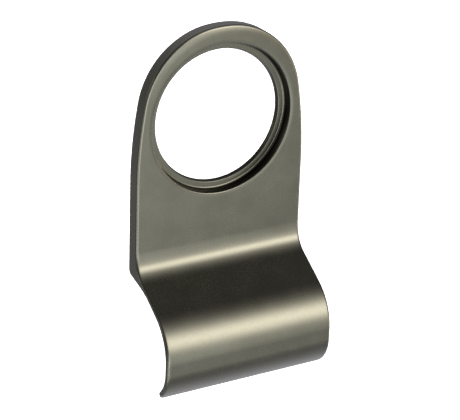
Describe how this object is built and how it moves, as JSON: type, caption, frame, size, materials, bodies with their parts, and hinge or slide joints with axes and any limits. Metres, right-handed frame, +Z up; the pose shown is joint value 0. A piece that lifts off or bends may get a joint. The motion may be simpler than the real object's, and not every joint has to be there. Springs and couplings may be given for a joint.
{
  "type": "cylinder latch pull",
  "caption": "Door pull that fits under a rim lock's cylinder: a round-topped cast plate with a stepped bore, whose lower end sweeps forward into a curled lip for the fingers.",
  "frame": {"origin": "on the axis of the bore, in the plane of the plate's back, which lies on the door", "axes": "+Z up along the plate, +Y along the bore's axis into the door, -Y towards the user, +X to the user's right"},
  "size_m": [0.044, 0.0221, 0.0839],
  "materials": {
    "plated_casting": "satin dark nickel plate on a cast body",
    "pin_steel": "bare turned steel"
  },
  "bodies": {
    "root": {"pull_plate": "plated_casting", "locating_pin_left": "pin_steel", "locating_pin_right": "pin_steel"}
  },
  "joints": []
}
